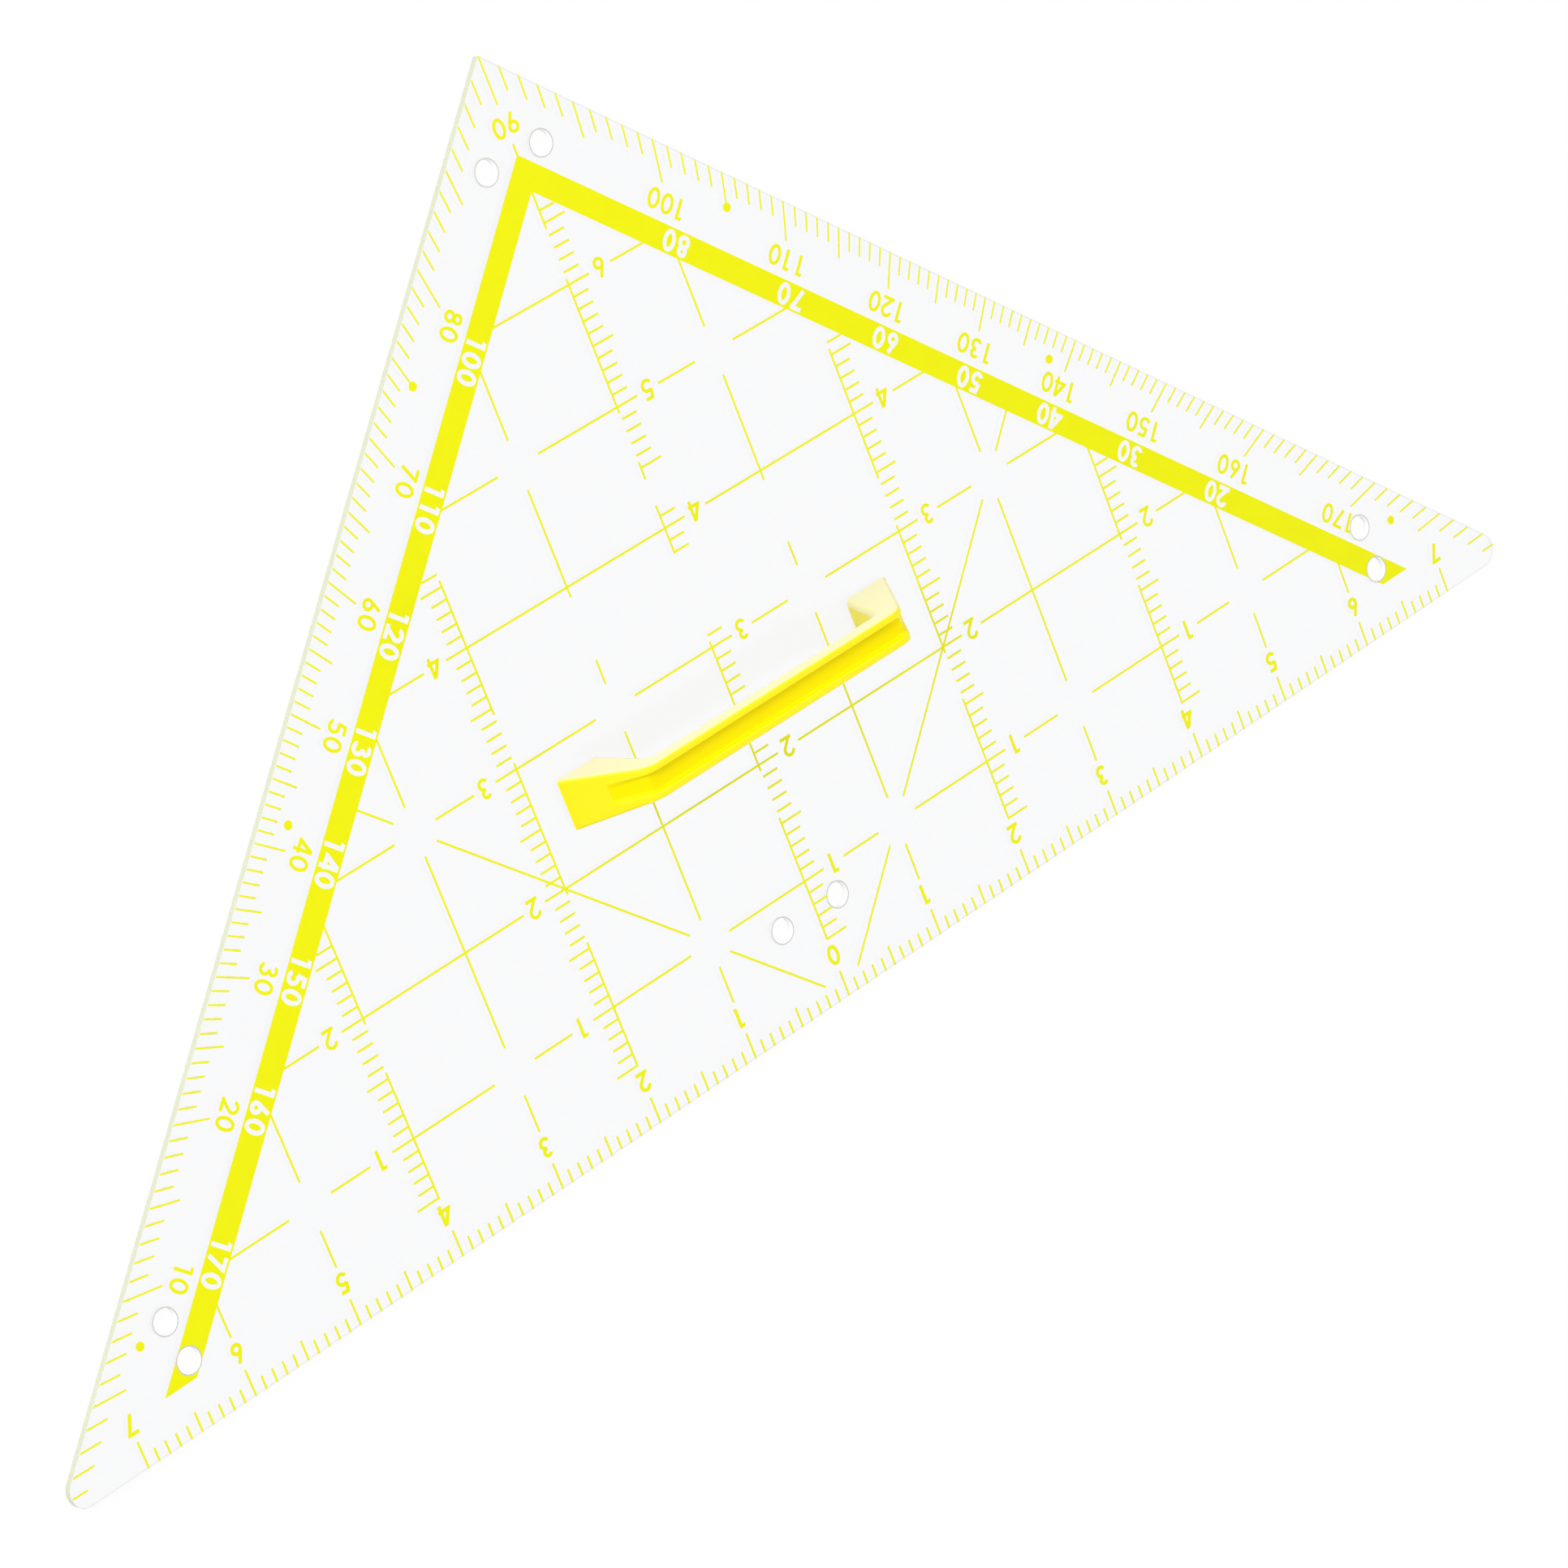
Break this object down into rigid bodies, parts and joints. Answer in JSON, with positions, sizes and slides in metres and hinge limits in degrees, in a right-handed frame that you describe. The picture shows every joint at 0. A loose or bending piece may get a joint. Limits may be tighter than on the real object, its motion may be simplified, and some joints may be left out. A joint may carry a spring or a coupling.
{
  "type": "blackboard set square",
  "caption": "Large clear right-angled set square with a printed length scale, angle scale and ruled field in yellow, and a raised yellow grip handle.",
  "frame": {"origin": "middle of the footprint, on the underside of the sheet", "axes": "+X along the drawing edge, +Y from the drawing edge to the square corner, +Z out of the printed face towards the handle"},
  "size_m": [0.7642, 0.3916, 0.034],
  "materials": {
    "clear_acrylic": "clear polished cast sheet, sawn edges faintly green",
    "yellow_ink": "screen print, even and half matt",
    "handle_plastic": "smooth moulded, half gloss",
    "screw_steel": "bright zinc",
    "insert_brass": "turned"
  },
  "bodies": {
    "root": {"plate": "clear_acrylic", "handle": "handle_plastic", "handle_screws": "screw_steel", "threaded_inserts": "insert_brass", "edge_scale": "yellow_ink", "edge_numerals": "yellow_ink", "left_degree_scale": "yellow_ink", "right_degree_scale": "yellow_ink", "left_degree_numerals": "yellow_ink", "right_degree_numerals": "yellow_ink", "degree_dots": "yellow_ink", "apex_mark": "yellow_ink", "angle_band": "yellow_ink", "centre_scale": "yellow_ink", "left_column_scales": "yellow_ink", "right_column_scales": "yellow_ink", "column_numerals": "yellow_ink", "parallel_rules": "yellow_ink", "upright_rules": "yellow_ink", "diagonal_rules": "yellow_ink"}
  },
  "joints": []
}
